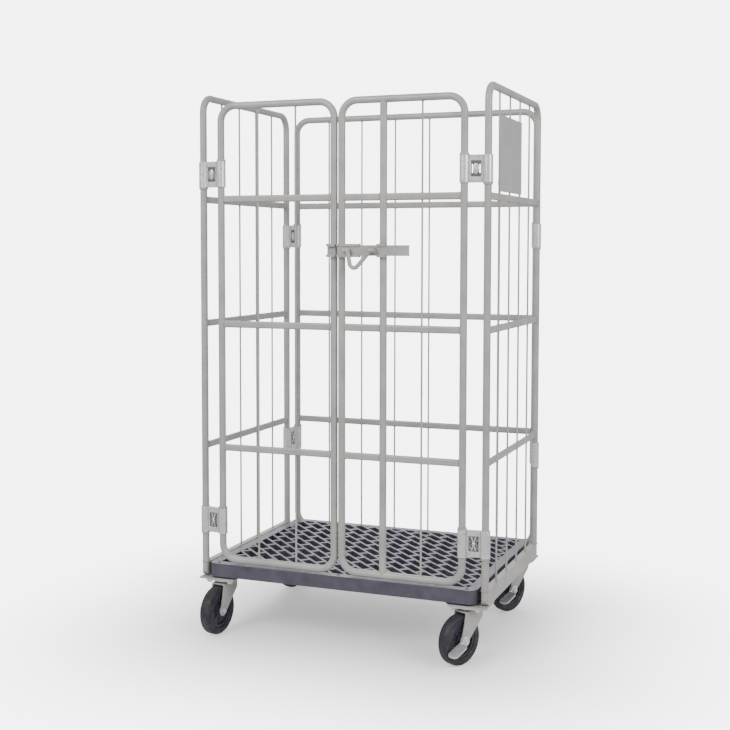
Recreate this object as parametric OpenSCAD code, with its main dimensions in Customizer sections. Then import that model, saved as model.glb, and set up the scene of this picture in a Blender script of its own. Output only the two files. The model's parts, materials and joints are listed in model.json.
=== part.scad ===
// Roll cage container: tubular side panels on castors, a back panel with a moulded deck,
// and a two-leaf front door. Width runs along X, depth along Y with the doors at -Y,
// height along Z, and the floor is z = 0. Every size is in millimetres.

/* [Overall] */
// Height to the top of the side panels
cage_h = 1700; // [1500:10:1800]
// Distance between the side panels' post centres, across the cage
post_span = 920; // [820:10:1000]
// Distance between a side panel's front and rear post centres
panel_depth = 612; // [560:4:680]
// Middle of the side panels, behind the middle of the whole object
panel_mid_y = 16; // [10:1:20]
// Height of the lowest cross rail
first_rail_z = 595; // [580:5:640]
// Distance from one cross rail to the next
rail_pitch = 388; // [340:2:400]

/* [Tubes and wires] */
// Outer diameter of the frame tubes
tube_d = 22; // [20:0.5:24]
// Diameter of the infill wires
wire_d = 6; // [5:0.5:8]
// Height of a cross rail's oval section
rail_h = 22; // [18:1:24]
// Thickness of a cross rail's oval section
rail_t = 12; // [10:0.5:14]
// Centre-line radius of the frames' rounded corners
corner_r = 48; // [40:2:60]

/* [Doors] */
// Gap between the two leaves' meeting tubes
door_gap = 3; // [2:0.5:6]
// How far the door stiles stand inside the side posts
door_inset = 67.5; // [62:0.5:75]
// How far the doors stand in front of the side posts
door_forward = 11; // [8:1:16]
// How far the leaves' top tubes are below the side panels' top tubes
door_drop = 32; // [20:1:40]
// Height of the leaves' bottom tube centres
door_base_z = 240; // [238:1:260]

/* [Back panel] */
// How far the back panel's stiles stand inside the side posts
back_inset = 17; // [14:1:20]
// How far the back panel stands behind the rear posts
back_behind = 57; // [54:1:64]
// How far its top tube is below the side panels' top tubes
back_drop = 9; // [6:1:20]

/* [Deck] */
// Height of the deck's upper face
deck_top_z = 225; // [222:1:227]
// Overall thickness of the moulded deck
deck_t = 42; // [40:1:43]
// Gap between the deck's side edges and the base beams
deck_side_gap = 11; // [9:1:14]
// Width of the deck's solid border
deck_border = 30; // [25:1:40]
// Width of the lattice's fine ribs
fine_rib = 8; // [6:1:10]
// Distance between fine ribs
fine_pitch = 34; // [30:1:40]
// Width of the lattice's broad ribs
broad_rib = 14; // [10:1:18]
// Distance between broad ribs
broad_pitch = 92; // [80:2:110]

/* [Castors] */
// Wheel diameter
wheel_d = 150; // [140:2:152]
// Tyre width
tyre_w = 34; // [30:1:36]
// Distance from the swivel axis to the axle
trail = 42; // [40:1:50]
// Swivel axis, in from the side post
castor_inset = 55; // [50:1:60]
// Swivel axes, either side of the middle of the panel
castor_y = 285; // [270:1:290]
// Height of the face that the castors bolt to
castor_h = 172; // [170:1:176]
// How far the right castors stand turned, clockwise from above
right_castor_turn = 26; // [0:1:45]
// How far the left castors stand turned, clockwise from above
left_castor_turn = 7; // [0:1:45]

/* [Hinges and latch] */
// Height of a hinge clip
clip_h = 80; // [70:1:84]
// Middle of the lower door hinge clips
door_clip_low_z = 360; // [340:5:380]
// Middle of the upper door hinge clips
door_clip_high_z = 1448; // [1430:1:1460]
// Middle of the lower rear hinge clips
rear_clip_low_z = 525; // [500:5:530]
// Middle of the upper rear hinge clips
rear_clip_high_z = 1262; // [1240:1:1290]
// Height of the latch
latch_z = 1213; // [1180:1:1240]
// Length of the latch's flat bolt
bolt_len = 226; // [210:2:240]
// Height of the latch's flat bolt
bolt_h = 32; // [28:1:34]
// Thickness of the latch's flat bolt
bolt_t = 6; // [5:0.5:7]

/* [Hidden] */
$fn = 64;

// Colours
paint = [0.68, 0.66, 0.64];
zinc = [0.78, 0.78, 0.76];
resin = [0.33, 0.30, 0.36];
rubber = [0.10, 0.09, 0.13];
sheet_grey = [0.60, 0.60, 0.60];

// Clearances
weld_gap = 0.05;
wire_gap = 0.1;
swing_gap = 0.3;
running_gap = 0.05;

// Frame lines
tube_r = tube_d / 2;
wire_r = wire_d / 2;
post_x = post_span / 2;
front_y = panel_mid_y - panel_depth / 2;
rear_y = panel_mid_y + panel_depth / 2;
top_z = cage_h - tube_r;
rail_zs = [for (i = [0:2]) first_rail_z + i * rail_pitch];
side_bays = 5;
side_wire_xs = [for (i = [1:side_bays - 1]) i * panel_depth / side_bays];

// Base beams and castor mountings
plate_t = 5;
beam_z = castor_h + plate_t;
beam_h = 45;
beam_top = beam_z + beam_h;
ledge_w = 19;
ledge_t = 3;
ledge_drop = 1;
mount_w = 119;
mount_d = 90;
bolt_dx = 72;
bolt_dy = 64;
bolt_r = 5;
bolt_head_h = 6;

// Door leaves
stile_x = post_x - door_inset;
door_y = front_y - door_forward;
door_top = top_z - door_drop;
meet_x = door_gap / 2 + tube_r;
leaf_w = stile_x - meet_x;
leaf_bays = 3;
leaf_pitch = leaf_w / leaf_bays;
tube_at = leaf_pitch + 6;
right_leaf_wires = [2 * leaf_pitch];
left_leaf_wires = [leaf_pitch, 2 * leaf_pitch];

// Back panel
back_x = post_x - back_inset;
back_y = rear_y + back_behind;
back_top = top_z - back_drop;
back_bays = 7;
back_wire_xs = [for (i = [1:back_bays - 1]) i * 2 * back_x / back_bays];

// Deck
deck_x = post_x - tube_r - deck_side_gap;
deck_front = door_y - 13;
deck_rear = back_y - tube_r - 7;
deck_base_z = deck_top_z - deck_t;
deck_skin = 37;
deck_wall = 8;
drain_r = 6;
back_base_z = deck_base_z + 17;

// Hinge clips
clip_wall = 3;
clip_web = 8;
rivet_r = 4;
rivet_head_r = 7.5;
rivet_head_h = 3;
collar_h = 5;
collar_gap = 0.5;
door_clip_zs = [door_clip_low_z, door_clip_high_z];
rear_clip_zs = [rear_clip_low_z, rear_clip_high_z];
door_clip_len = norm([door_inset, door_forward]);
rear_clip_len = norm([back_inset, back_behind]);
door_clip_turn = atan2(-door_forward, -door_inset);
rear_clip_turn = atan2(-back_behind, back_inset);

// Castors
castor_x = post_x - castor_inset;
function castor_mid(end) = panel_mid_y + end * castor_y;
axle_z = wheel_d / 2;
axle_r = 6;
hub_r = wheel_d * 0.35;
fork_gap = 40;
fork_t = 4;
fork_half = 36;
kingpin_r = 8;
boss_r = 16;
nut_r = 9.5;
nut_h = 5;
race_r = 30;
crown_z = castor_h - 18;
crown_t = 4;
race_base = crown_z + crown_t + 4;
top_plate_t = 5;
pedal_t = 4;
pedal_space = pedal_t + 2 * swing_gap;

// Latch
latch_back_y = door_y - tube_r;
bolt_y = latch_back_y - 2;
bolt_x = 5;
bolt_front = bolt_y - bolt_t;
bracket_gap = 1;
bracket_t = 2;
keeper_w = 27;
guide_w = 72;
handle_rod = 13;
handle_bend = 14;
lug_y = bolt_front - 11;
lug_w = 6;
lug_r = 8;
pin_r = 4;
handle_pins = [bolt_x + 28, bolt_x + 120];
handle_tip = [bolt_x + 50, -78];

// ---------- Shared shapes ----------

// Flat outline of a rounded rectangle, centred on the origin
module rounded_rect(w, h, r) {
    square([w - 2 * r, h], center = true);
    square([w, h - 2 * r], center = true);
    for (x = [-1, 1], y = [-1, 1])
        translate([x * (w / 2 - r), y * (h / 2 - r)]) circle(r = r);
}

// Quarter bend of tube in the XZ plane, turning from angle a to a + 90
module tube_bend(r, a) {
    rotate([90, 0, 0]) rotate([0, 0, a]) rotate_extrude(angle = 90)
        translate([r, 0]) circle(d = tube_d);
}

// Upright U of tube opening downwards: legs from z = 0 to the bends under z = h
module tube_arch(w, h, r) {
    for (x = [0, w]) translate([x, 0, 0]) cylinder(d = tube_d, h = h - r);
    translate([r, 0, h]) rotate([0, 90, 0]) cylinder(d = tube_d, h = w - 2 * r);
    translate([w - r, 0, h - r]) tube_bend(r, 0);
    translate([r, 0, h - r]) tube_bend(r, 90);
}

// Closed loop of tube standing in the XZ plane, from the origin to w and h
module tube_loop(w, h, r) {
    translate([0, 0, r]) tube_arch(w, h - r, r);
    translate([r, 0, 0]) rotate([0, 90, 0]) cylinder(d = tube_d, h = w - 2 * r);
    translate([r, 0, r]) tube_bend(r, 180);
    translate([w - r, 0, r]) tube_bend(r, 270);
}

// Oval cross rail along X from one post centre to the next, coped to the posts,
// with a hole for each wire and a cope for each full-height tube
module cross_rail(w, wire_xs, tube_xs = []) {
    difference() {
        rotate([90, 0, 90]) linear_extrude(w) {
            square([rail_t, rail_h - rail_t], center = true);
            for (s = [-1, 1]) translate([0, s * (rail_h - rail_t) / 2]) circle(d = rail_t);
        }
        for (x = concat([0, w], tube_xs)) translate([x, 0, -rail_h])
            cylinder(r = tube_r + weld_gap, h = 2 * rail_h);
        for (x = wire_xs) translate([x, 0, -rail_h])
            cylinder(r = wire_r + wire_gap, h = 2 * rail_h);
    }
}

// Upright wires at each x, their ends saddled to the tubes at both heights
module wires(xs, z0, z1) {
    difference() {
        for (x = xs) translate([x, 0, z0]) cylinder(r = wire_r, h = z1 - z0);
        for (z = [z0, z1]) translate([min(xs) - 20, 0, z]) rotate([0, 90, 0])
            cylinder(r = tube_r + weld_gap, h = max(xs) - min(xs) + 40);
    }
}

// Stop collar round a tube, just under or just over a hinge clip
module collar() {
    cylinder(r = tube_r + 3, h = collar_h);
}

// Hinge clip along +X: a sleeve round each tube and a riveted web between them
module hinge_clip(reach) {
    difference() {
        translate([0, 0, -clip_h / 2]) linear_extrude(clip_h) difference() {
            union() {
                for (x = [0, reach]) translate([x, 0]) circle(r = tube_r + swing_gap + clip_wall);
                translate([0, -clip_web / 2]) square([reach, clip_web]);
            }
            for (x = [0, reach]) translate([x, 0]) circle(r = tube_r + swing_gap);
        }
        translate([reach / 2, 0, 0]) rotate([90, 0, 0])
            cylinder(r = rivet_r + weld_gap, h = 2 * clip_web, center = true);
        // Upright slots on both sides of the rivet
        for (s = [-1, 1]) translate([reach / 2 + s * 11, 0, 0])
            cube([4, 2 * clip_web, 26], center = true);
    }
}

// Domed-over rivet through the middle of a hinge clip's web
module clip_rivet(reach) {
    translate([reach / 2, 0, 0]) rotate([90, 0, 0]) {
        cylinder(r = rivet_r, h = clip_web + 1, center = true);
        for (s = [-1, 1]) translate([0, 0, s * (clip_web + rivet_head_h) / 2])
            cylinder(r = rivet_head_r, h = rivet_head_h, center = true);
    }
}

// ---------- Side panels, drawn for the right side ----------

module side_frame() {
    translate([post_x, front_y, beam_top]) rotate([0, 0, 90])
        tube_arch(panel_depth, top_z - beam_top, corner_r);
    for (z = door_clip_zs) translate([post_x, front_y, z - clip_h / 2 - collar_h - collar_gap])
        collar();
    for (z = rear_clip_zs) translate([post_x, rear_y, z - clip_h / 2 - collar_h - collar_gap])
        collar();
}

module side_rails() {
    for (z = rail_zs) translate([post_x, front_y, z]) rotate([0, 0, 90])
        cross_rail(panel_depth, side_wire_xs);
}

module side_wires() {
    translate([post_x, front_y, 0]) rotate([0, 0, 90]) difference() {
        for (x = side_wire_xs) translate([x, 0, beam_top]) cylinder(r = wire_r, h = top_z - beam_top);
        translate([0, 0, top_z]) rotate([0, 90, 0])
            cylinder(r = tube_r + weld_gap, h = panel_depth);
    }
}

// Base beam: rounded ends in line with the posts, rounded lower corners, inner deck ledge
module side_beam() {
    foot_r = 24;
    length = panel_depth + tube_d;
    intersection() {
        translate([post_x, panel_mid_y, beam_z]) linear_extrude(beam_h) {
            square([tube_d, panel_depth], center = true);
            for (s = [-1, 1]) translate([0, s * panel_depth / 2]) circle(d = tube_d);
        }
        translate([post_x - tube_d, panel_mid_y, beam_z]) rotate([90, 0, 90]) linear_extrude(2 * tube_d) {
            translate([-length / 2, foot_r]) square([length, beam_h]);
            translate([-length / 2 + foot_r, 0]) square([length - 2 * foot_r, beam_h]);
            for (s = [-1, 1]) translate([s * (length / 2 - foot_r), foot_r]) circle(r = foot_r);
        }
    }
    ledge_l = 2 * castor_y - mount_d - 30;
    translate([post_x - tube_r - ledge_w, panel_mid_y - ledge_l / 2, deck_base_z - ledge_drop - ledge_t])
        cube([ledge_w + 1, ledge_l, ledge_t]);
}

// Plates welded under the beam, tapped for the castor bolts
module mount_plates() {
    for (s = [-1, 1]) difference() {
        translate([post_x + tube_r - mount_w, castor_mid(s) - mount_d / 2, castor_h])
            cube([mount_w, mount_d, plate_t]);
        bolt_holes(s);
        translate([castor_x, castor_mid(s), castor_h - 1]) cylinder(r = 12, h = plate_t + 2);
    }
}

module bolt_holes(s) {
    for (x = [-1, 1], y = [-1, 1])
        translate([castor_x + x * bolt_dx / 2, castor_mid(s) + y * bolt_dy / 2, castor_h - 20])
            cylinder(r = bolt_r + weld_gap, h = 40);
}

// Fixed top plates of the castors, with the raised half of the ball race below
module castor_tops() {
    for (s = [-1, 1]) difference() {
        union() {
            translate([castor_x, castor_mid(s), castor_h - top_plate_t])
                linear_extrude(top_plate_t) rounded_rect(bolt_dx + 22, bolt_dy + 20, 8);
            translate([castor_x, castor_mid(s), race_base])
                cylinder(r = race_r, h = castor_h - top_plate_t - race_base);
        }
        bolt_holes(s);
        translate([castor_x, castor_mid(s), crown_z]) cylinder(r = kingpin_r + running_gap, h = 40);
    }
}

module plate_bolts() {
    for (s = [-1, 1], x = [-1, 1], y = [-1, 1])
        translate([castor_x + x * bolt_dx / 2, castor_mid(s) + y * bolt_dy / 2, 0]) {
            translate([0, 0, castor_h - top_plate_t]) cylinder(r = bolt_r, h = plate_t + top_plate_t);
            translate([0, 0, castor_h - top_plate_t - bolt_head_h])
                cylinder(r = 1.7 * bolt_r, h = bolt_head_h, $fn = 6);
        }
}

// ---------- Door leaves, drawn for the right side ----------

module leaf_frame() {
    translate([meet_x, door_y, door_base_z]) tube_loop(leaf_w, door_top - door_base_z, corner_r);
    for (z = door_clip_zs) translate([stile_x, door_y, z + clip_h / 2 + collar_gap]) collar();
}

module leaf_rails(wire_xs, tube_xs) {
    for (z = rail_zs) translate([meet_x, door_y, z]) cross_rail(leaf_w, wire_xs, tube_xs);
}

module leaf_wires(xs) {
    translate([meet_x, door_y, 0]) wires(xs, door_base_z, door_top);
}

// ---------- Hinge clips, drawn for the right side ----------

module front_clips() {
    for (z = door_clip_zs) translate([post_x, front_y, z]) rotate([0, 0, door_clip_turn])
        hinge_clip(door_clip_len);
}

module front_rivets() {
    for (z = door_clip_zs) translate([post_x, front_y, z]) rotate([0, 0, door_clip_turn])
        clip_rivet(door_clip_len);
}

module rear_clips() {
    for (z = rear_clip_zs) translate([back_x, back_y, z]) rotate([0, 0, rear_clip_turn])
        hinge_clip(rear_clip_len);
}

module rear_rivets() {
    for (z = rear_clip_zs) translate([back_x, back_y, z]) rotate([0, 0, rear_clip_turn])
        clip_rivet(rear_clip_len);
}

// ---------- Castor, drawn round the swivel axis with the wheel trailing to -Y ----------

module fork_leg() {
    linear_extrude(fork_t) {
        polygon([[-fork_half, crown_z + 2], [fork_half, crown_z + 2], [fork_half, crown_z - 18],
                 [-trail + boss_r - 1, axle_z - 6], [-trail - boss_r + 1, axle_z - 6],
                 [-fork_half - 6, crown_z - 30]]);
        translate([-trail, axle_z]) circle(r = boss_r);
    }
}

module castor_fork() {
    difference() {
        union() {
            translate([-fork_gap / 2 - fork_t, -fork_half, crown_z])
                cube([fork_gap + 2 * fork_t, 2 * fork_half, crown_t]);
            for (x = [-fork_gap / 2 - fork_t, fork_gap / 2])
                translate([x, 0, 0]) rotate([90, 0, 90]) fork_leg();
            translate([0, 0, crown_z]) cylinder(r = race_r + 1, h = race_base - crown_z - 0.5);
            translate([0, 0, crown_z]) cylinder(r = kingpin_r, h = castor_h - crown_z - 1);
        }
        translate([-fork_gap, -trail, axle_z]) rotate([0, 90, 0])
            cylinder(r = axle_r + weld_gap, h = 2 * fork_gap);
    }
}

// Axle bolt with its head inwards and its nut outwards, spaced off the fork by nut_space
module castor_axle(nut_space = 0) {
    half = fork_gap / 2 + fork_t;
    translate([0, -trail, axle_z]) rotate([0, 90, 0]) {
        translate([0, 0, -half - 2]) cylinder(r = axle_r, h = 2 * half + nut_space + 10);
        translate([0, 0, half + nut_space]) cylinder(r = nut_r, h = nut_h, $fn = 6);
        translate([0, 0, -half - nut_h]) cylinder(r = nut_r, h = nut_h, $fn = 6);
    }
}

module castor_tyre() {
    translate([0, -trail, axle_z]) rotate([0, 90, 0]) rotate_extrude() difference() {
        translate([(wheel_d / 2 + hub_r - 10) / 2, 0])
            rounded_rect(wheel_d / 2 - hub_r + 10, tyre_w, 9);
        translate([hub_r - 20, -tyre_w]) square([20 + weld_gap, 2 * tyre_w]);
    }
}

module castor_hub() {
    translate([0, -trail, axle_z]) rotate([0, 90, 0]) difference() {
        union() {
            cylinder(r = hub_r, h = tyre_w - 8, center = true);
            cylinder(r = boss_r, h = fork_gap - 1, center = true);
        }
        cylinder(r = axle_r + running_gap, h = 2 * fork_gap, center = true);
        for (s = [-1, 1]) translate([0, 0, s * (tyre_w / 2 - 4)]) difference() {
            cylinder(r = hub_r - 8, h = 12, center = true);
            cylinder(r = 22, h = 13, center = true);
        }
    }
}

// Foot lever that turns on the axle's outer end, with a rounded tread sloping down to the front
module brake_pedal() {
    tread = [36, 58];
    slope = 25;
    translate([fork_gap / 2 + fork_t + swing_gap, -trail, axle_z]) difference() {
        union() {
            rotate([90, 0, 90]) linear_extrude(pedal_t) {
                circle(r = boss_r - 1);
                polygon([[4, 14], [-4, -14], [-64, -30], [-66, -22]]);
            }
            translate([tread[0] / 2, -50, -16]) rotate([slope, 0, 0])
                linear_extrude(pedal_t) rounded_rect(tread[0], tread[1], 12);
        }
        translate([-tread[0], 0, 0]) rotate([0, 90, 0])
            cylinder(r = axle_r + running_gap, h = 3 * tread[0]);
    }
}

// Places a castor at side -1 (left) or 1 (right) and end -1 (front) or 1 (rear)
module castor_at(side, end) {
    translate([side * castor_x, castor_mid(end), 0])
        rotate([0, 0, side > 0 ? -right_castor_turn : -left_castor_turn])
            children();
}

// ---------- Sub-parts ----------

module back_frame() color(paint) {
    translate([-back_x, back_y, back_base_z])
        tube_loop(2 * back_x, back_top - back_base_z, corner_r);
    for (s = [-1, 1], z = rear_clip_zs)
        translate([s * back_x, back_y, z + clip_h / 2 + collar_gap]) collar();
}

module back_rails() color(paint) {
    for (z = rail_zs) translate([-back_x, back_y, z]) cross_rail(2 * back_x, back_wire_xs);
}

module back_wires() color(paint) {
    translate([-back_x, back_y, 0]) wires(back_wire_xs, back_base_z, back_top);
}

// Lattice openings: slots at 45 degrees between fine and broad ribs
module lattice_slots() {
    intersection() {
        translate([0, (deck_front + deck_rear) / 2])
            square([2 * (deck_x - deck_border), deck_rear - deck_front - 2 * deck_border], center = true);
        rotate([0, 0, -45]) for (i = [-8:8], j = [-18:18])
            translate([i * broad_pitch + (j % 2) * broad_pitch / 2, j * fine_pitch])
                square([broad_pitch - broad_rib, fine_pitch - fine_rib], center = true);
    }
}

module deck() color(resin) {
    mid_y = (deck_front + deck_rear) / 2;
    depth = deck_rear - deck_front;
    difference() {
        translate([0, mid_y, deck_base_z]) linear_extrude(deck_t)
            rounded_rect(2 * deck_x, depth, 25);
        translate([0, mid_y, deck_base_z - 1]) linear_extrude(deck_t - deck_skin + 1)
            rounded_rect(2 * (deck_x - deck_wall), depth - 2 * deck_wall, 18);
        translate([0, 0, deck_base_z]) linear_extrude(2 * deck_t) lattice_slots();
        for (x = [-1, 0, 1]) translate([x * (deck_x - 30), deck_front + 16, deck_base_z])
            cylinder(r = drain_r, h = 2 * deck_t);
    }
}

// Pads under the deck's corners that rest on the mount plates
module deck_pads() color(rubber) {
    pad_w = 80;
    base = beam_z + swing_gap + 0.2;
    for (x = [-1, 1], y = [-1, 1]) translate([x * (castor_x - pad_w / 4), castor_mid(y), base])
        linear_extrude(deck_base_z - base) rounded_rect(pad_w, pad_w, 6);
}

// Straps that tie the deck's rear edge to the back panel's bottom tube, midway between wires
module deck_straps() color(zinc) {
    strap_w = 40;
    strap_t = 3;
    bay = 2 * back_x / back_bays;
    for (i = [-2, 0, 2]) translate([i * bay - strap_w / 2, 0, 0])
        rotate([90, 0, 90]) linear_extrude(strap_w) difference() {
            union() {
                translate([back_y, back_base_z]) circle(r = tube_r + strap_t);
                translate([deck_rear, deck_base_z + 4]) square([strap_t, deck_t - 10]);
                translate([deck_rear, back_base_z - strap_t]) square([back_y - deck_rear, strap_t]);
            }
            translate([back_y, back_base_z]) circle(r = tube_r + weld_gap);
        }
}

module right_frame() color(paint) side_frame();
module right_rails() color(paint) side_rails();
module right_wires() color(paint) side_wires();
module right_beam() color(paint) side_beam();
module right_mount_plates() color(paint) mount_plates();
module right_castor_tops() color(zinc) castor_tops();
module right_plate_bolts() color(zinc) plate_bolts();

module left_frame() color(paint) mirror([1, 0, 0]) side_frame();
module left_rails() color(paint) mirror([1, 0, 0]) side_rails();
module left_wires() color(paint) mirror([1, 0, 0]) side_wires();
module left_beam() color(paint) mirror([1, 0, 0]) side_beam();
module left_mount_plates() color(paint) mirror([1, 0, 0]) mount_plates();
module left_castor_tops() color(zinc) mirror([1, 0, 0]) castor_tops();
module left_plate_bolts() color(zinc) mirror([1, 0, 0]) plate_bolts();

// Plain document plate outside the wires, between the top tube and the highest cross rail
module notice_plate() color(sheet_grey) {
    low = rail_zs[2] + rail_h / 2 + 6;
    high = top_z - 76;
    translate([post_x + wire_r + weld_gap, front_y + side_wire_xs[0] - 12, low])
        cube([1.5, side_wire_xs[2] - side_wire_xs[0] + 18, high - low]);
}

module right_door_frame() color(paint) leaf_frame();
module right_door_rails() color(paint) leaf_rails(right_leaf_wires, [tube_at]);
module right_door_wires() color(paint) leaf_wires(right_leaf_wires);
module left_door_frame() color(paint) mirror([1, 0, 0]) leaf_frame();
module left_door_rails() color(paint) mirror([1, 0, 0]) leaf_rails(left_leaf_wires, []);
module left_door_wires() color(paint) mirror([1, 0, 0]) leaf_wires(left_leaf_wires);

// Full-height tube that backs the latch, saddled to the leaf's top and bottom tubes
module right_door_tube() color(paint) {
    translate([meet_x + tube_at, door_y, 0]) difference() {
        translate([0, 0, door_base_z]) cylinder(d = tube_d, h = door_top - door_base_z);
        for (z = [door_base_z, door_top]) translate([-50, 0, z]) rotate([0, 90, 0])
            cylinder(r = tube_r + weld_gap, h = 100);
    }
}

// C-shaped bracket open to the front, its mouth along X
module latch_bracket(x, w) {
    lip = 5;
    grip = 3;
    mouth = bolt_h + 2 * bracket_gap;
    face_y = bolt_front - bracket_gap - bracket_t;
    difference() {
        translate([x, face_y, latch_z - mouth / 2 - 3]) cube([w, latch_back_y + grip - face_y, mouth + 6]);
        translate([x - 1, bolt_front - bracket_gap, latch_z - mouth / 2])
            cube([w + 2, bolt_t + 2 * bracket_gap, mouth]);
        translate([x - 1, face_y - 1, latch_z - mouth / 2 + lip]) cube([w + 2, bolt_t, mouth - 2 * lip]);
    }
}

module latch_guides() color(paint) {
    difference() {
        union() {
            latch_bracket(bolt_x - 1, guide_w);
            latch_bracket(meet_x + tube_at - 14, 28);
        }
        for (x = [meet_x, meet_x + tube_at]) translate([x, door_y, latch_z - 50])
            cylinder(r = tube_r + weld_gap, h = 100);
    }
}

module latch_keeper() color(paint) {
    difference() {
        latch_bracket(-keeper_w - 3, keeper_w);
        translate([-meet_x, door_y, latch_z - 50]) cylinder(r = tube_r + weld_gap, h = 100);
    }
}

// Flat sliding bolt with two lugs that carry the handle
module latch_bolt() color(paint) {
    difference() {
        union() {
            translate([bolt_x, bolt_front, latch_z - bolt_h / 2]) cube([bolt_len, bolt_t, bolt_h]);
            for (x = handle_pins) translate([x - lug_w / 2, 0, 0]) {
                translate([0, lug_y, latch_z - lug_r]) cube([lug_w, bolt_front - lug_y + 1, 2 * lug_r]);
                translate([0, lug_y, latch_z]) rotate([0, 90, 0]) cylinder(r = lug_r, h = lug_w);
            }
        }
        translate([0, lug_y, latch_z]) rotate([0, 90, 0]) cylinder(r = pin_r + running_gap, h = 200);
    }
}

// Round rod in the XZ plane from point a, round a bend at the tip, to point b on its right.
// The bend is a little thicker than the legs, which run 2 mm into it.
module vee_rod(a, b, tip, d, r) {
    swell = 0.8;
    left = atan2(a[1] - tip[1], a[0] - tip[0]);
    right = atan2(b[1] - tip[1], b[0] - tip[0]);
    half = (left - right) / 2;
    middle = (left + right) / 2;
    start = r / tan(half) - 2;
    translate([tip[0], 0, tip[1]]) {
        rotate([0, 90 - left, 0]) translate([0, 0, start]) cylinder(d = d, h = norm(a - tip) - start);
        rotate([0, 90 - right, 0]) translate([0, 0, start]) cylinder(d = d, h = norm(b - tip) - start);
        translate([cos(middle), 0, sin(middle)] * r / sin(half))
            rotate([90, 0, 0]) rotate([0, 0, left + 90]) rotate_extrude(angle = 180 - 2 * half)
                translate([r, 0]) circle(d = d + swell);
    }
}

// Three-cornered pull handle that hangs from the bolt and lifts outwards
module latch_handle() color(paint) {
    knuckle_w = 12;
    inset = lug_w / 2 + 0.5;
    left = handle_pins[0] + inset;
    right = handle_pins[1] - inset - knuckle_w;
    translate([0, lug_y, latch_z]) {
        vee_rod([left + knuckle_w / 2, 0], [right + knuckle_w / 2, 0], handle_tip, handle_rod, handle_bend);
        for (x = [left, right]) translate([x, 0, 0]) rotate([0, 90, 0])
            cylinder(r = lug_r, h = knuckle_w);
        for (x = handle_pins) translate([x - lug_w, 0, 0]) rotate([0, 90, 0])
            cylinder(r = pin_r, h = 2 * lug_w);
    }
}

module right_front_clips() color(zinc) front_clips();
module right_front_rivets() color(zinc) front_rivets();
module right_rear_clips() color(zinc) rear_clips();
module right_rear_rivets() color(zinc) rear_rivets();
module left_front_clips() color(zinc) mirror([1, 0, 0]) front_clips();
module left_front_rivets() color(zinc) mirror([1, 0, 0]) front_rivets();
module left_rear_clips() color(zinc) mirror([1, 0, 0]) rear_clips();
module left_rear_rivets() color(zinc) mirror([1, 0, 0]) rear_rivets();

module front_left_fork() color(paint) castor_at(-1, -1) castor_fork();
module front_left_axle() color(zinc) castor_at(-1, -1) castor_axle();
module front_left_tyre() color(rubber) castor_at(-1, -1) castor_tyre();
module front_left_hub() color(rubber) castor_at(-1, -1) castor_hub();
module front_right_fork() color(paint) castor_at(1, -1) castor_fork();
module front_right_axle() color(zinc) castor_at(1, -1) castor_axle(pedal_space);
module front_right_tyre() color(rubber) castor_at(1, -1) castor_tyre();
module front_right_hub() color(rubber) castor_at(1, -1) castor_hub();
module front_right_pedal() color(zinc) castor_at(1, -1) brake_pedal();
module rear_left_fork() color(paint) castor_at(-1, 1) castor_fork();
module rear_left_axle() color(zinc) castor_at(-1, 1) castor_axle();
module rear_left_tyre() color(rubber) castor_at(-1, 1) castor_tyre();
module rear_left_hub() color(rubber) castor_at(-1, 1) castor_hub();
module rear_right_fork() color(paint) castor_at(1, 1) castor_fork();
module rear_right_axle() color(zinc) castor_at(1, 1) castor_axle(pedal_space);
module rear_right_tyre() color(rubber) castor_at(1, 1) castor_tyre();
module rear_right_hub() color(rubber) castor_at(1, 1) castor_hub();
module rear_right_pedal() color(zinc) castor_at(1, 1) brake_pedal();

back_frame();
back_rails();
back_wires();
deck();
deck_pads();
deck_straps();
left_frame();
left_rails();
left_wires();
left_beam();
left_mount_plates();
left_castor_tops();
left_plate_bolts();
right_frame();
right_rails();
right_wires();
right_beam();
right_mount_plates();
right_castor_tops();
right_plate_bolts();
notice_plate();
left_door_frame();
left_door_rails();
left_door_wires();
latch_keeper();
right_door_frame();
right_door_rails();
right_door_wires();
right_door_tube();
latch_guides();
latch_bolt();
latch_handle();
left_front_clips();
left_front_rivets();
right_front_clips();
right_front_rivets();
left_rear_clips();
left_rear_rivets();
right_rear_clips();
right_rear_rivets();
front_left_fork();
front_left_axle();
front_left_tyre();
front_left_hub();
front_right_fork();
front_right_axle();
front_right_tyre();
front_right_hub();
front_right_pedal();
rear_left_fork();
rear_left_axle();
rear_left_tyre();
rear_left_hub();
rear_right_fork();
rear_right_axle();
rear_right_tyre();
rear_right_hub();
rear_right_pedal();
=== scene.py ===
"""Looks of the roll cage container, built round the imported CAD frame. Metres throughout."""

import json
import math
import random

import bmesh
import bpy
from mathutils import Matrix, Vector


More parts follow.
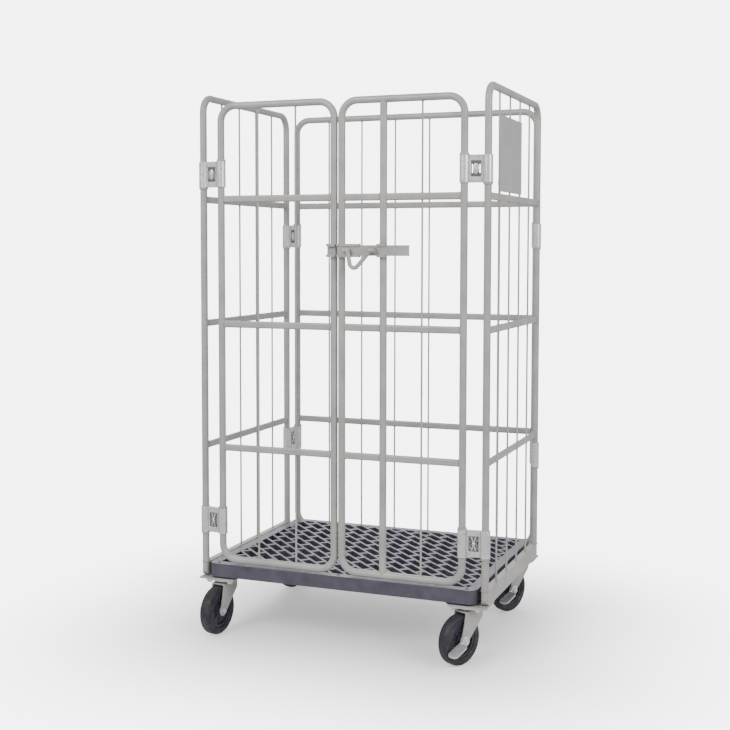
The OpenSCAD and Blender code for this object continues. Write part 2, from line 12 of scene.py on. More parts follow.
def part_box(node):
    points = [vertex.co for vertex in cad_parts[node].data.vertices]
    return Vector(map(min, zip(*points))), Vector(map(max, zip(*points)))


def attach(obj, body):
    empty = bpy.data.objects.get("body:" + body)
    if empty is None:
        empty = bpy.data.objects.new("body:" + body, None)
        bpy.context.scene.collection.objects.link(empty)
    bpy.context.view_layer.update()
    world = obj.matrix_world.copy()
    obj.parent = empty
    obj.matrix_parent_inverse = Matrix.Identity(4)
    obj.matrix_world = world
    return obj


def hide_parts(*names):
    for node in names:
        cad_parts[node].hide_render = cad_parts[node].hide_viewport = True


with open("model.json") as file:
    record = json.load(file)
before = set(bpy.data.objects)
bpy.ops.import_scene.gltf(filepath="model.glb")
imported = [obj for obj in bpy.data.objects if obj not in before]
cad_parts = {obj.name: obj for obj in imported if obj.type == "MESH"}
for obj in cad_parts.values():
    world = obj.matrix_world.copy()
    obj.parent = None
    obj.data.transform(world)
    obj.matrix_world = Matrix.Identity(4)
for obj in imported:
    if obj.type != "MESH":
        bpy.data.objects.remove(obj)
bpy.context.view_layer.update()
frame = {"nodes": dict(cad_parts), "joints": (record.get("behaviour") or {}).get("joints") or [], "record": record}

# ---------- Sizes, from the frame where it states them ----------

JOINTS = {j["name"]: j for j in frame["joints"]}
SIDES = {"left": -1, "right": 1}
ENDS = ("front", "rear")
CASTORS = [f"{end}_{side}" for end in ENDS for side in SIDES]
UP = Vector((0, 0, 1))
MM = 0.001


def joint_place(name):
    """A joint's position at rest, as a vector."""
    return Vector(JOINTS[name]["pos_m"])


def flat_place(name):
    """A joint's position with its height dropped."""
    place = joint_place(name)
    return Vector((place.x, place.y, 0))


def box_middle(node):
    """Middle of a node's box at rest."""
    low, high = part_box(node)
    return (low + high) / 2


TUBE_R = (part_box("right_door_tube")[1].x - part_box("right_door_tube")[0].x) / 2
WIRE_R = (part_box("right_door_wires")[1].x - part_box("right_door_wires")[0].x) / 2
RAIL_H = 22 * MM
RAIL_T = 12 * MM
CLIP_H = 80 * MM
CLIP_WEB_HALF = 4 * MM
CLIP_SLEEVE_R = 14.3 * MM
CLIP_PANEL_MM = 0.4
TYRE_W = 34 * MM
HUB_SHARE = 0.7
POLE_R = 0.1 * MM  # an outline that closes on its axis stops this far from it
RAIL_BEAD = 1.5 * MM
BASE_BEAD = 1.8 * MM
WIRE_BEAD = 1.3 * MM
THIN_BEAD = 1.0 * MM
SMOOTH_ANGLE = math.radians(32)
WELD_ANGLE = math.radians(60)
SIDE_BAYS = 5
BACK_BAYS = 7
LEAF_BAYS = 3
RAIL_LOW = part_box("back_rails")[0].z + RAIL_H / 2
RAIL_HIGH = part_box("back_rails")[1].z - RAIL_H / 2
RAIL_ZS = [RAIL_LOW, (RAIL_LOW + RAIL_HIGH) / 2, RAIL_HIGH]
BEAM_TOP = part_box("right_beam")[1].z


# ---------- Materials ----------

class Material:
    """A procedural material being wired up round one Principled shader."""

    def __init__(self, name, roughness, metallic=0.0, **sockets):
        self.made = bpy.data.materials.new(name)
        self.made.use_nodes = True
        self.nodes = self.made.node_tree.nodes
        self.links = self.made.node_tree.links
        self.shader = self.nodes["Principled BSDF"]
        self.shader.inputs["Roughness"].default_value = roughness
        self.shader.inputs["Metallic"].default_value = metallic
        for socket, value in sockets.items():
            self.shader.inputs[socket.replace("_", " ")].default_value = value
        self.place = self.nodes.new("ShaderNodeTexCoord").outputs["Object"]

    def node(self, kind, **settings):
        """New shader node with those settings."""
        made = self.nodes.new(kind)
        for key, value in settings.items():
            setattr(made, key, value)
        return made

    def link(self, source, target):
        self.links.new(source, target)

    def noise(self, scale, detail=3.0, stretch=(1, 1, 1), rough=0.5):
        """Noise of so many cells per metre, stretched along an axis where stretch is small."""
        mapping = self.node("ShaderNodeMapping")
        mapping.inputs["Scale"].default_value = stretch
        self.link(self.place, mapping.inputs["Vector"])
        made = self.node("ShaderNodeTexNoise")
        made.inputs["Scale"].default_value = scale
        made.inputs["Detail"].default_value = detail
        made.inputs["Roughness"].default_value = rough
        self.link(mapping.outputs["Vector"], made.inputs["Vector"])
        return made.outputs["Fac"]

    def span(self, source, low, high, to_low=0.0, to_high=1.0):
        """Maps low..high of a value onto to_low..to_high, clamped."""
        made = self.node("ShaderNodeMapRange")
        limits = {"From Min": low, "From Max": high, "To Min": to_low, "To Max": to_high}
        for socket, value in limits.items():
            made.inputs[socket].default_value = value
        self.link(source, made.inputs["Value"])
        return made.outputs["Result"]

    def math(self, operation, first, second):
        """Maths node; first and second are numbers or sockets."""
        made = self.node("ShaderNodeMath", operation=operation)
        for socket, value in zip(made.inputs, (first, second)):
            if isinstance(value, (int, float)):
                socket.default_value = value
            else:
                self.link(value, socket)
        return made.outputs["Value"]

    def mix(self, factor, first, second):
        """Colour mix; first and second are colours or sockets."""
        made = self.node("ShaderNodeMix", data_type="RGBA")
        self.link(factor, made.inputs["Factor"])
        # The node's colour sockets: A is input 6, B is input 7, and the result is output 2
        for index, value in ((6, first), (7, second)):
            if isinstance(value, tuple):
                made.inputs[index].default_value = (*value, 1.0)
            else:
                self.link(value, made.inputs[index])
        return made.outputs[2]

    def edges(self, radius):
        """1 along sharp edges, 0 on open surfaces."""
        bevel = self.node("ShaderNodeBevel", samples=4)
        bevel.inputs["Radius"].default_value = radius
        flat = self.node("ShaderNodeNewGeometry")
        dot = self.node("ShaderNodeVectorMath", operation="DOT_PRODUCT")
        self.link(bevel.outputs["Normal"], dot.inputs[0])
        self.link(flat.outputs["Normal"], dot.inputs[1])
        return self.span(dot.outputs["Value"], 0.99, 0.8)

    def finish(self, color, roughness=None, bumps=(), round_edges=0.0):
        """Connects colour, roughness, softened edges, and a chain of (height, depth in metres) bumps."""
        self.link(color, self.shader.inputs["Base Color"])
        if roughness is not None:
            self.link(roughness, self.shader.inputs["Roughness"])
        normal = None
        if round_edges:
            bevel = self.node("ShaderNodeBevel", samples=4)
            bevel.inputs["Radius"].default_value = round_edges
            normal = bevel.outputs["Normal"]
        for height, depth in bumps:
            bump = self.node("ShaderNodeBump")
            bump.inputs["Distance"].default_value = depth
            self.link(height, bump.inputs["Height"])
            if normal is not None:
                self.link(normal, bump.inputs["Normal"])
            normal = bump.outputs["Normal"]
        if normal is not None:
            self.link(normal, self.shader.inputs["Normal"])
        return self.made


def painted_steel(name, light, dark, bare):
    """Smooth stoved enamel: soft mottling, orange peel, and thin wear on sharp edges."""
    m = Material(name, 0.4, Coat_Weight=0.2, Coat_Roughness=0.25)
    mottled = m.mix(m.span(m.noise(14, 4), 0.3, 0.7), dark, light)
    scuffs = m.span(m.noise(160, 2, (1, 1, 0.06)), 0.66, 0.74)
    scuffed = m.mix(m.math("MULTIPLY", scuffs, 0.35), mottled, bare)
    worn = m.math("MULTIPLY", m.edges(0.0012), m.span(m.noise(70, 4), 0.45, 0.62))
    color = m.mix(m.math("MULTIPLY", worn, 0.7), scuffed, bare)
    roughness = m.span(m.noise(45, 3), 0.3, 0.7, 0.32, 0.5)
    return m.finish(color, roughness, [(m.noise(900, 2), 0.00004), (m.noise(120, 3), 0.00008)], 0.0008)


def zinc_plate(name, light, dark):
    """Zinc plating with faint crystal spangle and fine rolling lines."""
    m = Material(name, 0.34, 0.7)
    spangle = m.node("ShaderNodeTexVoronoi")
    spangle.inputs["Scale"].default_value = 220
    m.link(m.place, spangle.inputs["Vector"])
    grain = m.span(spangle.outputs["Distance"], 0.0, 0.9)
    plating = m.mix(grain, light, dark)
    tarnish = m.span(m.noise(55, 5), 0.52, 0.7)
    color = m.mix(m.math("MULTIPLY", tarnish, 0.4), plating, tuple(0.6 * c for c in dark))
    roughness = m.span(m.noise(90, 4), 0.3, 0.7, 0.24, 0.46)
    lines = m.noise(700, 2, (1, 1, 0.05))
    return m.finish(color, roughness, [(lines, 0.00003), (m.noise(60, 2), 0.0001)], 0.0006)


def moulded_resin():
    """Moulded plastic: dull purple grey, fine grain; upper faces painted lighter as a highlight, with pale scuffs
    there that are part wear, part painted highlight.
    """
    m = Material("moulded_resin", 0.45)
    base = m.mix(m.span(m.noise(22, 5), 0.3, 0.7), (0.050, 0.043, 0.066), (0.085, 0.076, 0.104))
    facing = m.node("ShaderNodeSeparateXYZ")
    m.link(m.node("ShaderNodeNewGeometry").outputs["Normal"], facing.inputs["Vector"])
    upward = m.span(facing.outputs["Z"], 0.7, 0.95)
    # Upper faces painted lighter by their facing: a painted highlight for light falling from above
    painted_top_highlight = m.mix(m.math("MULTIPLY", upward, 0.75), base, (0.24, 0.225, 0.262))
    # Pale scuffs on upper faces only: part wear, part painted highlight
    scuffs = m.span(m.noise(130, 4, (1, 0.15, 1)), 0.56, 0.7)
    scuffed = m.math("MULTIPLY", m.math("MULTIPLY", scuffs, upward), 0.5)
    edges = m.math("MULTIPLY", m.edges(0.002), 0.3)
    color = m.mix(edges, m.mix(scuffed, painted_top_highlight, (0.42, 0.41, 0.44)), (0.30, 0.28, 0.33))
    roughness = m.span(m.noise(60, 4), 0.3, 0.7, 0.36, 0.55)
    return m.finish(color, roughness, [(m.noise(1200, 2), 0.00006), (m.noise(90, 3), 0.0001)], 0.0012)


def wheel_rubber(name, dark, dusty, dust):
    """Near-black rubber with fine grain and a film of floor dust."""
    m = Material(name, 0.55)
    mottled = m.mix(m.span(m.noise(40, 4), 0.3, 0.7), dark, tuple(1.6 * c for c in dark))
    film = m.math("MULTIPLY", m.span(m.noise(28, 6), 0.45, 0.75), dust)
    color = m.mix(film, mottled, dusty)
    roughness = m.span(m.noise(80, 3), 0.3, 0.7, 0.42, 0.68)
    return m.finish(color, roughness, [(m.noise(1000, 2), 0.00008), (m.noise(150, 3), 0.00012)], 0.001)


def weld_metal():
    """Painted-over weld: the paint's colour, a little darker in its ripples."""
    m = Material("weld_metal", 0.42)
    color = m.mix(m.span(m.noise(500, 3), 0.3, 0.7), (0.26, 0.25, 0.24), (0.38, 0.37, 0.355))
    return m.finish(color, m.span(m.noise(300, 2), 0.3, 0.7, 0.35, 0.6), [(m.noise(700, 3), 0.00015)])


PAINT = painted_steel("paint", (0.43, 0.42, 0.403), (0.335, 0.327, 0.314), (0.52, 0.51, 0.50))
PLATE = painted_steel("plate_sheet", (0.42, 0.41, 0.40), (0.37, 0.36, 0.352), (0.48, 0.47, 0.46))
ZINC = zinc_plate("zinc_plate", (0.84, 0.84, 0.83), (0.68, 0.68, 0.69))
# Dark zinc for the clips' sunk panels: painted shade in the recess, with some grime
RECESS_SHADE_AND_GRIME_ZINC = zinc_plate("recess_shade_and_grime_zinc", (0.24, 0.23, 0.25), (0.13, 0.12, 0.15))
RESIN = moulded_resin()
TYRE = wheel_rubber("tyre_rubber", (0.010, 0.009, 0.014), (0.10, 0.095, 0.10), 0.35)
HUB = wheel_rubber("hub_plastic", (0.020, 0.018, 0.030), (0.12, 0.115, 0.13), 0.25)
PAD = wheel_rubber("pad_rubber", (0.016, 0.013, 0.024), (0.09, 0.085, 0.10), 0.3)
WELD = weld_metal()

SLOT_MATERIALS = {
    "paint": PAINT, "plate_sheet": PLATE, "zinc": ZINC, "deck_resin": RESIN,
    "tyre_rubber": TYRE, "hub_plastic": HUB, "pad_rubber": PAD,
}


def dress_cad_nodes():
    """Gives each carried-over node its material, and smooths its rounded faces."""
    for row in frame["record"]["subparts"]:
        mesh = frame["nodes"][row["node"]].data
        mesh.materials.clear()
        mesh.materials.append(SLOT_MATERIALS[row["material_slot"]])
        mesh.shade_smooth()
        mesh.set_sharp_from_angle(angle=SMOOTH_ANGLE)


# ---------- Mesh helpers ----------

def add_piece(name, bm, body, material, sharp=SMOOTH_ANGLE):
    """Turns a bmesh into a piece that rides on a CAD body."""
    bmesh.ops.recalc_face_normals(bm, faces=bm.faces)
    mesh = bpy.data.meshes.new(name)
    bm.to_mesh(mesh)
    bm.free()
    mesh.materials.append(material)
    mesh.shade_smooth()
    mesh.set_sharp_from_angle(angle=sharp)
    piece = bpy.data.objects.new(name, mesh)
    bpy.context.scene.collection.objects.link(piece)
    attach(piece, body)
    return piece


def axes_matrix(centre, axis):
    """Matrix whose Z runs along axis from centre, and whose X leans upwards where it can."""
    z = axis.normalized()
    x = UP - z * UP.dot(z)
    x = x.normalized() if x.length > 1e-6 else Vector((1, 0, 0))
    y = z.cross(x)
    return Matrix.Translation(centre) @ Matrix((x, y, z)).transposed().to_4x4()


def bridge(bm, rings, closed):
    """Skins a list of vertex rings; each ring is a closed loop of the same length."""
    pairs = list(zip(rings, rings[1:]))
    if closed:
        pairs.append((rings[-1], rings[0]))
    for first, second in pairs:
        for i in range(len(first)):
            j = (i + 1) % len(first)
            bm.faces.new((first[i], first[j], second[j], second[i]))


def lathe(bm, profile, place, segments):
    """Revolves a closed outline of (radius, height) points round the matrix's Z axis."""
    rings = []
    for i in range(segments):
        a = 2 * math.pi * i / segments
        outline = [Vector((r * math.cos(a), r * math.sin(a), h)) for r, h in profile]
        rings.append([bm.verts.new(place @ point) for point in outline])
    bridge(bm, rings, True)


def sweep(bm, points, radii, sides, closed=False):
    """Round tube along points, with one radius for each; open ends get flat caps."""
    count = len(points)
    rings = []
    side = None
    for i, point in enumerate(points):
        before = points[i - 1] if closed or i else point
        after = points[(i + 1) % count] if closed or i < count - 1 else point
        along = (after - before).normalized()
        if side is None:
            side = along.orthogonal().normalized()
        side = (side - along * side.dot(along)).normalized()
        other = along.cross(side)
        ring = []
        for k in range(sides):
            a = 2 * math.pi * k / sides
            ring.append(bm.verts.new(point + (side * math.cos(a) + other * math.sin(a)) * radii[i]))
        rings.append(ring)
    bridge(bm, rings, closed)
    if not closed:
        bm.faces.new(rings[0])
        bm.faces.new(rings[-1])


def capsule(bm, start, end, radius, sides=16, steps=5):
    """Round bar with domed ends."""
    along = (end - start).normalized()
    points, radii = [], []
    for point, sign in ((start, -1), (end, 1)):
        turns = range(1, steps + 1) if sign < 0 else range(steps, 0, -1)
        for k in turns:
            a = math.pi / 2 * k / steps
            points.append(point + along * sign * radius * math.cos(a))
            radii.append(radius * math.sin(a))
    sweep(bm, points, radii, sides)


def fillet(a, tip, b, radius, steps=12):
    """Points from a to b by way of a bend of that radius inside the corner at tip."""
    u, v = (a - tip).normalized(), (b - tip).normalized()
    half = u.angle(v) / 2
    centre = tip + (u + v).normalized() * radius / math.sin(half)
    start, end = tip + u * radius / math.tan(half), tip + v * radius / math.tan(half)
    arc = []
    for k in range(steps + 1):
        blend = (start - centre).slerp(end - centre, k / steps)
        arc.append(centre + blend.normalized() * radius)
    return [a, *arc, b]


def weld_bead(bm, points, radius, rng, closed=True):
    """Rippled bead laid along points."""
    radii = []
    for i in range(len(points)):
        ripple = 0.3 * abs(math.sin(1.7 * i))
        radii.append(radius * (0.85 + ripple + rng.uniform(-0.08, 0.08)))
    sweep(bm, points, radii, 6, closed)


def ring_points(centre, radius, count):
    """Level circle of points."""
    turns = [2 * math.pi * i / count for i in range(count)]
    return [centre + Vector((radius * math.cos(a), radius * math.sin(a), 0)) for a in turns]


# ---------- Welds ----------

def rail_end_points(post, along, z, count=28):
    """Seam where an oval rail running along meets a round post."""
    across = UP.cross(along)
    flat = (RAIL_H - RAIL_T) / 2
    points = []
    for i in range(count):
        a = 2 * math.pi * i / count
        u = RAIL_T / 2 * math.cos(a)
        v = RAIL_T / 2 * math.sin(a) + math.copysign(flat, math.sin(a))
        reach = math.sqrt(TUBE_R ** 2 - u ** 2)
        points.append(post + along * reach + across * u + UP * (z + v))
    return points


def panel_welds(name, body, start, along, width, wires, tubes, wire_low, wire_high):
    """Every bead of one panel: rail ends, wires through the rails, and wire ends."""
    rng = random.Random(name)
    bm = bmesh.new()
    end = start + along * width
    for z in RAIL_ZS:
        weld_bead(bm, rail_end_points(start, along, z), RAIL_BEAD, rng)
        weld_bead(bm, rail_end_points(end, -along, z), RAIL_BEAD, rng)
        for tube in tubes:
            for way in (along, -along):
                weld_bead(bm, rail_end_points(start + along * tube, way, z), RAIL_BEAD, rng)
        for wire in wires:
            for lift in (-RAIL_H / 2, RAIL_H / 2):
                seam = ring_points(start + along * wire + UP * (z + lift), WIRE_R, 12)
                weld_bead(bm, seam, THIN_BEAD, rng)
    for wire in wires:
        for z in (wire_low, wire_high):
            weld_bead(bm, ring_points(start + along * wire + UP * z, WIRE_R, 12), WIRE_BEAD, rng)
    add_piece(name, bm, body, WELD, WELD_ANGLE)


def base_welds(side):
    """Beads round the foot of each post, and along the castor mounting plates."""
    rng = random.Random(side + "_base")
    bm = bmesh.new()
    for post in (flat_place(side + "_front_clip_turn"), flat_place(side + "_side_swing")):
        weld_bead(bm, ring_points(post + UP * BEAM_TOP, TUBE_R, 36), BASE_BEAD, rng)
    inward = {"left": TUBE_R - 0.5 * MM, "right": -TUBE_R}[side]
    seam_x = joint_place(side + "_side_swing").x + inward
    plate_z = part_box(side + "_mount_plates")[1].z
    step, half_count = 3 * MM, 12
    for end in ENDS:
        middle = joint_place(f"{end}_{side}_swivel").y
        steps = range(-half_count, half_count + 1)
        seam = [Vector((seam_x, middle + k * step, plate_z)) for k in steps]
        weld_bead(bm, seam, BASE_BEAD, rng, closed=False)
    add_piece(side + "_base_welds", bm, side + "_side", WELD, WELD_ANGLE)


def side_welds(side):
    """Beads of one side panel."""
    front, rear = flat_place(side + "_front_clip_turn"), flat_place(side + "_side_swing")
    depth = (rear - front).length
    side_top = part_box(side + "_frame")[1].z - 2 * TUBE_R
    wires = [depth * i / SIDE_BAYS for i in range(1, SIDE_BAYS)]
    panel_welds(side + "_panel_welds", side + "_side", front, (rear - front).normalized(), depth,
                wires, [], BEAM_TOP, side_top)
    base_welds(side)


def door_welds(side):
    """Beads of one door leaf; the right leaf has a full-height tube in place of a wire."""
    low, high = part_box(side + "_door_frame")
    stile = flat_place(side + "_door_swing")
    inner_edge = min(abs(low.x), abs(high.x))
    meet = Vector((SIDES[side] * (inner_edge + TUBE_R), stile.y, 0))
    leaf = (stile - meet).length
    wires = [leaf * i / LEAF_BAYS for i in range(1, LEAF_BAYS)]
    tubes = []
    if side == "right":
        wires = wires[1:]
        tubes = [abs(box_middle("right_door_tube").x - meet.x)]
    panel_welds(side + "_door_welds", side + "_door", meet, (stile - meet).normalized(), leaf,
                wires, tubes, low.z + 2 * TUBE_R, high.z - 2 * TUBE_R)


def back_welds():
    """Beads of the back panel."""
    left, right = flat_place("left_rear_clip_turn"), flat_place("right_rear_clip_turn")
    width = (right - left).length
    low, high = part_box("back_frame")
    wires = [width * i / BACK_BAYS for i in range(1, BACK_BAYS)]
    panel_welds("back_panel_welds", "back_panel", left, Vector((1, 0, 0)), width,
                wires, [], low.z + 2 * TUBE_R, high.z - 2 * TUBE_R)


# ---------- Hinge clips ----------

def dome(radius, height, lift, steps=6):
    """Outline of a domed head with a low upright rim, standing on the plane at lift."""
    rim = 0.8 * MM
    points = [(POLE_R, lift), (radius, lift)]
    for k in range(steps):
        a = math.pi / 2 * k / steps
        points.append((radius * math.cos(a), lift + rim + (height - rim) * math.sin(a)))
    points.append((POLE_R, lift + height))
    return points


def smooth(value, low, high):
    """0 below low, 1 above high, and a smooth ramp between."""
    t = min(1.0, max(0.0, (value - low) / (high - low)))
    return t * t * (3 - 2 * t)


def pressed_height(u, v, half_u):
    """Height of a clip's pressed face: a raised border round a sunk panel."""
    border_w, panel_half_v, ramp, border_rise = 4 * MM, 23 * MM, 1.2 * MM, 2.2
    border = smooth(max(abs(u) - (half_u - border_w), abs(v) - panel_half_v), -ramp, ramp)
    return (CLIP_PANEL_MM + border_rise * border) * MM


def pressed_faces(bm, place, half_u, sunk):
    """Skin of a clip's pressed face, either its raised border or its sunk panel."""
    half_v = CLIP_H / 2 - 0.5 * MM
    slot_near, slot_far, slot_half_v = 9 * MM, 13 * MM, 13 * MM
    panel_top = 0.9 * MM
    columns = round(half_u / MM) * 2
    rows = 80
    grid = {}

    def corner(i, j):
        if (i, j) not in grid:
            u = half_u * (2 * i / columns - 1)
            v = half_v * (2 * j / rows - 1)
            edge = i in (0, columns) or j in (0, rows)
            height = 0 if edge else pressed_height(u, v, half_u)
            grid[i, j] = bm.verts.new(place @ Vector((v, u, height)))
        return grid[i, j]

    for i in range(columns):
        for j in range(rows):
            u = half_u * ((2 * i + 1) / columns - 1)
            v = half_v * ((2 * j + 1) / rows - 1)
            in_slot = slot_near < abs(u) < slot_far and abs(v) < slot_half_v
            in_panel = pressed_height(u, v, half_u) < panel_top
            if not in_slot and in_panel == sunk:
                bm.faces.new((corner(i, j), corner(i + 1, j), corner(i + 1, j + 1), corner(i, j + 1)))


def pressed_bead(bm, place, crossed):
    """Bead standing in a clip's sunk panel: a cross on lower clips, an upright oval on upper ones."""
    reach, spread, bead_r = 19 * MM, 6 * MM, 2 * MM
    oval_r, oval_h, stretch = 8 * MM, 2.8 * MM, 2
    if crossed:
        for way in (-1, 1):
            ends = [place @ Vector((s * reach, s * way * spread, CLIP_PANEL_MM * MM)) for s in (-1, 1)]
            capsule(bm, *ends, bead_r)
    else:
        oval = place @ Matrix.Diagonal((stretch, 1, 1, 1))
        lathe(bm, dome(oval_r, oval_h, 0), oval, 48)


def torus_outline(radius, spread, height, count=8):
    """Section of a ring of that radius, as (radius, height) points."""
    turns = [2 * math.pi * k / count for k in range(count)]
    return [(radius + spread * math.cos(t), height * math.sin(t)) for t in turns]


def clip_details(side, end):
    """Pressed faces, rolled sleeve ends and domed rivets of one corner's two clips."""
    body = f"{side}_{end}_clip"
    if end == "front":
        a, b = flat_place(side + "_front_clip_turn"), flat_place(side + "_door_swing")
    else:
        a, b = flat_place(side + "_side_swing"), flat_place(side + "_rear_clip_turn")
    out = (b - a).normalized().cross(UP)
    low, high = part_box(f"{side}_{end}_clips")
    raised, sunk, rivets = bmesh.new(), bmesh.new(), bmesh.new()
    sleeve_clear, lip_inset = 0.3 * MM, 1 * MM
    half_u = (b - a).length / 2 - CLIP_SLEEVE_R - sleeve_clear
    head = dome(5.6 * MM, 4.6 * MM, CLIP_WEB_HALF)
    lip = torus_outline(13.2 * MM, 1.4 * MM, 1.2 * MM)
    for z, crossed in ((low.z + CLIP_H / 2, True), (high.z - CLIP_H / 2, False)):
        centre = (a + b) / 2 + UP * z
        for face in (out, -out):
            place = axes_matrix(centre + face * CLIP_WEB_HALF, face)
            pressed_faces(raised, place, half_u, False)
            pressed_faces(sunk, place, half_u, True)
            pressed_bead(raised, place, crossed)
            lathe(rivets, head, axes_matrix(centre, face), 28)
        for tube in (a, b):
            for lift in (lip_inset - CLIP_H / 2, CLIP_H / 2 - lip_inset):
                lathe(raised, lip, Matrix.Translation(tube + UP * (z + lift)), 40)
    add_piece(f"{side}_{end}_clip_pressings", raised, body, ZINC)
    # Sunk panels in the dark zinc: painted shade in the recess, with some grime
    add_piece(f"{side}_{end}_clip_panels", sunk, body, RECESS_SHADE_AND_GRIME_ZINC)
    heads = add_piece(f"{side}_{end}_rivet_heads", rivets, body, ZINC)
    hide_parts(f"{side}_{end}_rivets")


# ---------- Castors ----------

def tyre_outline(radius, width, inner):
    """Section of a solid tyre: flat tread with rounded shoulders and two fine side grooves."""
    half, corner = width / 2, 9 * MM
    groove, groove_half, groove_depth = radius - 18 * MM, 2 * MM, 0.8 * MM
    bead_inset, steps = 2 * MM, 8
    below = [(inner, -half + bead_inset), (groove - groove_half, -half),
             (groove, -half + groove_depth), (groove + groove_half, -half)]
    for k in range(steps + 1):
        a = math.pi / 2 * (k / steps - 1)
        below.append((radius - corner + corner * math.cos(a), -half + corner + corner * math.sin(a)))
    above = [(r, -h) for r, h in reversed(below)]
    return [*below, (radius, 0.0), *above]


def hub_ribs(bm, wheel, count=8):
    """Raised radial ribs in the hub's two recesses; the matrix's Z is the axle."""
    near_r, near_h, far_r, far_h, rib_r = 21 * MM, 8.5 * MM, 45 * MM, 8.0 * MM, 2.6 * MM
    for k in range(count):
        turn = Matrix.Rotation(2 * math.pi * k / count, 4, "Z")
        for face in (-1, 1):
            start = wheel @ turn @ Vector((near_r, 0, face * near_h))
            end = wheel @ turn @ Vector((far_r, 0, face * far_h))
            capsule(bm, start, end, rib_r, 10, 3)


def castor_details(castor):
    """Tyre, hub ribs and race seal of one castor; the seal's dark ring also serves as painted shade in the gap
    under the top plate.
    """
    spin = JOINTS[castor + "_spin"]
    wheel = axes_matrix(Vector(spin["pos_m"]), Vector(spin["axis"]))
    radius = spin["pos_m"][2]
    tyre = bmesh.new()
    lathe(tyre, tyre_outline(radius, TYRE_W, radius * HUB_SHARE), wheel, 128)
    tread = add_piece(castor + "_tyre_tread", tyre, castor + "_wheel", TYRE)
    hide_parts(castor + "_tyre")
    ribs = bmesh.new()
    hub_ribs(ribs, wheel)
    add_piece(castor + "_hub_ribs", ribs, castor + "_wheel", HUB)
    kingpin_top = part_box(castor + "_fork")[1].z
    # Dark ring in the gap under the top plate: a seal, and painted shade in that gap as well
    seal_drop, seal_r = 10.7 * MM, 31 * MM
    seal = bmesh.new()
    place = flat_place(castor + "_swivel") + UP * (kingpin_top - seal_drop)
    lathe(seal, torus_outline(seal_r, 1.3 * MM, 1.1 * MM), Matrix.Translation(place), 48)
    add_piece(castor + "_race_seal_and_gap_shade", seal, castor + "_castor", PAD)


# ---------- Latch and notice plate ----------

def latch_handle():
    """Bent round-rod handle in one smooth run, with its two knuckles on their pins."""
    low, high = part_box("latch_handle")
    pivot = joint_place("latch_pull_lift")
    rod_r, bend_r, pin_r, knuckle_r = 6.5 * MM, 14 * MM, 4 * MM, 8 * MM
    length, bevel, knuckle_inset = 12 * MM, 1 * MM, 15.5 * MM
    tip_inset, tip_drop = 28 * MM, 3 * MM
    a = Vector((low.x + knuckle_inset, pivot.y, pivot.z))
    b = Vector((high.x - knuckle_inset, pivot.y, pivot.z))
    tip = Vector((low.x + tip_inset, pivot.y, low.z - tip_drop))
    bm = bmesh.new()
    path = fillet(a, tip, b, bend_r)
    sweep(bm, path, [rod_r] * len(path), 20)
    pin = [(POLE_R, 0), (pin_r, 0), (pin_r, length), (POLE_R, length)]
    knuckle = [(POLE_R, 0), (knuckle_r - bevel, 0), (knuckle_r, bevel), (knuckle_r, length - bevel),
               (knuckle_r - bevel, length), (POLE_R, length)]
    across = Vector((1, 0, 0))
    for centre, outer in ((a, low.x), (b, high.x - length)):
        lathe(bm, knuckle, axes_matrix(centre - across * length / 2, across), 32)
        lathe(bm, pin, axes_matrix(Vector((outer, pivot.y, pivot.z)), across), 24)
    rod = add_piece("latch_handle_rod", bm, "latch_pull", PAINT)
    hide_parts("latch_handle")


def notice_plate_fixings():
    """Rolled edges of the notice plate, and the small straps that hold it to the wires."""
    low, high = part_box("notice_plate")
    x = (low.x + high.x) / 2
    bm = bmesh.new()
    inset, hem_r = 1.0 * MM, 1.4 * MM
    corners = [Vector((x, y, z)) for y, z in (
        (low.y + inset, low.z + inset), (high.y - inset, low.z + inset),
        (high.y - inset, high.z - inset), (low.y + inset, high.z - inset))]
    for first, second in zip(corners, corners[1:] + corners[:1]):
        capsule(bm, first, second, hem_r, 10, 3)
    add_piece("notice_plate_hem", bm, "right_side", PLATE)
    straps = bmesh.new()
    front, rear = flat_place("right_front_clip_turn"), flat_place("right_side_swing")
    depth = rear.y - front.y
    inner, outer, half_h = 3.05 * MM, 4.2 * MM, 6 * MM
    strap = [(inner, -half_h), (outer, -half_h), (outer, half_h), (inner, half_h)]
    from_edge = 25 * MM
    for i in (1, 2, 3):
        for z in (low.z + from_edge, high.z - from_edge):
            place = Vector((front.x, front.y + depth * i / SIDE_BAYS, z))
            lathe(straps, strap, Matrix.Translation(place), 24)
    add_piece("notice_plate_straps", straps, "right_side", ZINC)


# ---------- Studio ----------

WHITE_LEVEL = 6
LIGHT_LEVEL = 0.7
FLOOR_LIFT = 0.35
FOOTPRINT_HALF = (0.3, 0.2, 0)
FADE_REACH = 1.1
LIGHT_AIM = (0, 0, 0.8)


def seen_level(tree, seen, unseen):
    """Strength that is `seen` to the eye and `unseen` as light on the object."""
    path = tree.nodes.new("ShaderNodeLightPath")
    made = tree.nodes.new("ShaderNodeMapRange")
    made.inputs["To Min"].default_value = unseen
    made.inputs["To Max"].default_value = seen
    tree.links.new(path.outputs["Is Camera Ray"], made.inputs["Value"])
    return made.outputs["Result"]


def vector_node(tree, operation, source, value=None):
    """Vector maths node fed by source, with an optional fixed second value."""
    made = tree.nodes.new("ShaderNodeVectorMath")
    made.operation = operation
    tree.links.new(source, made.inputs[0])
    if value is not None:
        made.inputs[1].default_value = value
    return made


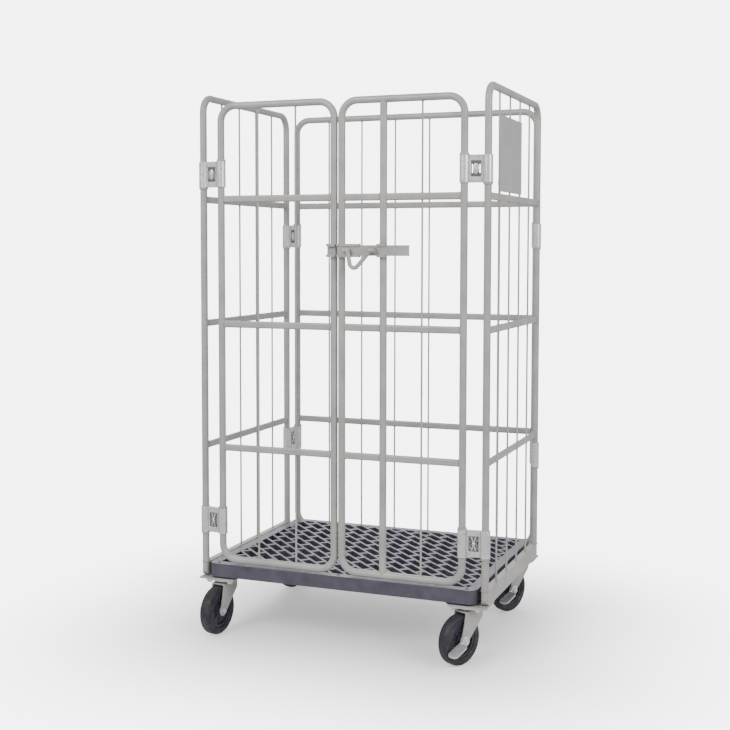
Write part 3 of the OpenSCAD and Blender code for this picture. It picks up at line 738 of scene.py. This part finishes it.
def studio_floor():
    """Pale floor that fades into the backdrop's white away from the object's footprint."""
    bm = bmesh.new()
    bmesh.ops.create_circle(bm, cap_ends=True, segments=96, radius=30)
    mesh = bpy.data.meshes.new("floor")
    bm.to_mesh(mesh)
    bm.free()
    floor = bpy.data.objects.new("floor", mesh)
    bpy.context.scene.collection.objects.link(floor)
    made = bpy.data.materials.new("floor")
    made.use_nodes = True
    tree = made.node_tree
    shader = tree.nodes["Principled BSDF"]
    shader.inputs["Base Color"].default_value = (0.92, 0.92, 0.92, 1)
    shader.inputs["Roughness"].default_value = 0.7
    shader.inputs["Emission Color"].default_value = (1, 1, 1, 1)
    tree.links.new(seen_level(tree, FLOOR_LIFT, 0.0), shader.inputs["Emission Strength"])
    glow = tree.nodes.new("ShaderNodeEmission")
    glow.inputs["Color"].default_value = (1, 1, 1, 1)
    tree.links.new(seen_level(tree, WHITE_LEVEL, LIGHT_LEVEL), glow.inputs["Strength"])
    place = tree.nodes.new("ShaderNodeTexCoord").outputs["Object"]
    # The fade is shaped to the footprint, so the grey zone round it reads as a painted soft shadow; the floor's
    # rendered shadows show inside it too
    folded = vector_node(tree, "ABSOLUTE", place).outputs["Vector"]
    beyond = vector_node(tree, "SUBTRACT", folded, FOOTPRINT_HALF).outputs["Vector"]
    clipped = vector_node(tree, "MAXIMUM", beyond, (0, 0, 0)).outputs["Vector"]
    distance = vector_node(tree, "LENGTH", clipped).outputs["Value"]
    fade = tree.nodes.new("ShaderNodeMapRange")
    fade.interpolation_type = "SMOOTHSTEP"
    fade.inputs["From Min"].default_value = 0.0
    fade.inputs["From Max"].default_value = FADE_REACH
    tree.links.new(distance, fade.inputs["Value"])
    mix = tree.nodes.new("ShaderNodeMixShader")
    tree.links.new(fade.outputs["Result"], mix.inputs["Fac"])
    tree.links.new(shader.outputs["BSDF"], mix.inputs[1])
    tree.links.new(glow.outputs["Emission"], mix.inputs[2])
    tree.links.new(mix.outputs["Shader"], tree.nodes["Material Output"].inputs["Surface"])
    mesh.materials.append(made)


def studio_world():
    """Even white surroundings, brighter to the eye than as light."""
    world = bpy.data.worlds.new("studio")
    bpy.context.scene.world = world
    world.use_nodes = True
    tree = world.node_tree
    background = tree.nodes["Background"]
    background.inputs["Color"].default_value = (1, 1, 1, 1)
    tree.links.new(seen_level(tree, WHITE_LEVEL, LIGHT_LEVEL), background.inputs["Strength"])


def area_light(name, place, target, size, power):
    """Square soft light at place, aimed at target."""
    light = bpy.data.lights.new(name, "AREA")
    light.size = size
    light.energy = power
    lamp = bpy.data.objects.new(name, light)
    lamp.location = place
    lamp.rotation_euler = (Vector(target) - Vector(place)).to_track_quat("-Z", "Y").to_euler()
    bpy.context.scene.collection.objects.link(lamp)


def studio_camera():
    """Camera near the photographed view: a fit to the cage's edges, with less shift than the best one."""
    data = bpy.data.cameras.new("camera")
    data.sensor_width = 36
    data.lens = 59.36
    data.shift_y = -0.06
    camera = bpy.data.objects.new("camera", data)
    camera.location = (1.3865, -3.6394, 1.2209)
    yaw, pitch, roll = (math.radians(a) for a in (21.264, -3.488, 0.085))
    level = Matrix.Rotation(yaw, 4, "Z") @ Matrix.Rotation(math.pi / 2 + pitch, 4, "X")
    turn = level @ Matrix.Rotation(roll, 4, "Z")
    camera.rotation_euler = turn.to_euler()
    bpy.context.scene.collection.objects.link(camera)
    bpy.context.scene.camera = camera


dress_cad_nodes()
for side in SIDES:
    side_welds(side)
    door_welds(side)
back_welds()
for side in SIDES:
    for end in ENDS:
        clip_details(side, end)
for castor in CASTORS:
    castor_details(castor)
latch_handle()
notice_plate_fixings()
studio_floor()
studio_world()
area_light("key", (-1.4, -3.6, 3.4), LIGHT_AIM, 1.8, 120)
area_light("fill", (3.6, -1.6, 2.4), LIGHT_AIM, 1.6, 75)
area_light("back", (-1.6, 3.6, 2.8), LIGHT_AIM, 1.8, 60)
studio_camera()
